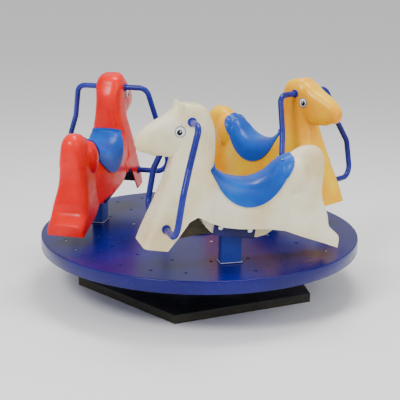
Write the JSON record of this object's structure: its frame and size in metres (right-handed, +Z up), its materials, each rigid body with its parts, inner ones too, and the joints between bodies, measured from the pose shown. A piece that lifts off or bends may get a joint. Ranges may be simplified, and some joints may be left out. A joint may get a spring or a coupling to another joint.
{
  "type": "merry go round",
  "caption": "Playground merry go round: a round turning deck carries moulded horse seats with saddles and tube handles, on a flat five-sided base.",
  "frame": {"origin": "on the floor, under the middle of the spindle, in the base slab's resting face", "axes": "+Z up along the spindle; the first (white) horse sits at azimuth -74 degrees from +X and faces -X"},
  "size_m": [1.5087, 1.5748, 0.9675],
  "materials": {
    "base_board": "black paint worn to dark brown at the edges",
    "deck_paint": "glossy royal blue enamel",
    "frame_paint": "blue enamel on welded tube",
    "bracket_paint": "dark blue enamel",
    "handle_paint": "glossy violet blue enamel",
    "cap_paint": "dark blue enamel",
    "steel": "machined",
    "zinc": "bright zinc plate",
    "bearing_steel": "polished",
    "cage_brass": "machined",
    "seal_rubber": "matte",
    "white_shell": "glossy ivory glass-fibre moulding",
    "yellow_shell": "glossy yellow glass-fibre moulding",
    "red_shell": "glossy red glass-fibre moulding",
    "saddle": "glossy blue moulding",
    "board": "resin-sealed dark timber",
    "eye_white": "glossy white",
    "eye_black": "glossy black"
  },
  "bodies": {
    "base": {"base_slab": "base_board", "spindle_flange": "steel", "flange_bolts": "zinc", "spindle": "steel", "lower_inner_ring": "bearing_steel", "upper_inner_ring": "bearing_steel", "spindle_nut": "zinc"},
    "lower_rollers": {"lower_balls": "bearing_steel", "lower_cage": "cage_brass"},
    "upper_rollers": {"upper_balls": "bearing_steel", "upper_cage": "cage_brass"},
    "carousel": {"hub": "frame_paint", "lower_outer_ring": "bearing_steel", "upper_outer_ring": "bearing_steel", "hub_seal": "seal_rubber", "hub_cap": "cap_paint", "cap_screws": "zinc", "main_arms": "frame_paint", "cross_arms": "frame_paint", "brace_bars": "frame_paint", "deck_plate": "deck_paint", "deck_rim": "deck_paint", "deck_screws": "zinc", "white_post": "frame_paint", "white_bracket": "bracket_paint", "white_shell": "white_shell", "white_leg_board": "board", "white_saddle": "saddle", "white_left_handle": "handle_paint", "white_right_handle": "handle_paint", "yellow_post": "frame_paint", "yellow_bracket": "bracket_paint", "yellow_shell": "yellow_shell", "yellow_leg_board": "board", "yellow_saddle": "saddle", "yellow_left_handle": "handle_paint", "yellow_right_handle": "handle_paint", "red_post": "frame_paint", "red_bracket": "bracket_paint", "red_shell": "red_shell", "red_leg_board": "board", "red_saddle": "saddle", "red_left_handle": "handle_paint", "red_right_handle": "handle_paint", "bracket_bolts": "zinc", "saddle_screws": "zinc", "eye_whites": "eye_white", "pupils": "eye_black", "handle_sleeves": "steel", "handle_collars": "handle_paint"}
  },
  "joints": [
    {"name": "deck_spin", "type": "hinge", "parent": "base", "child": "carousel", "pos_m": [0, 0, 0.15], "axis": [0, 0, 1], "continuous": true},
    {"name": "lower_cage_spin", "type": "hinge", "parent": "base", "child": "lower_rollers", "pos_m": [0, 0, 0.094], "axis": [0, 0, 1], "continuous": true},
    {"name": "upper_cage_spin", "type": "hinge", "parent": "base", "child": "upper_rollers", "pos_m": [0, 0, 0.213], "axis": [0, 0, 1], "continuous": true}
  ],
  "couplings": [
    {"joint": "lower_cage_spin", "follows": "deck_spin", "ratio": 0.58889},
    {"joint": "upper_cage_spin", "follows": "deck_spin", "ratio": 0.58889}
  ]
}
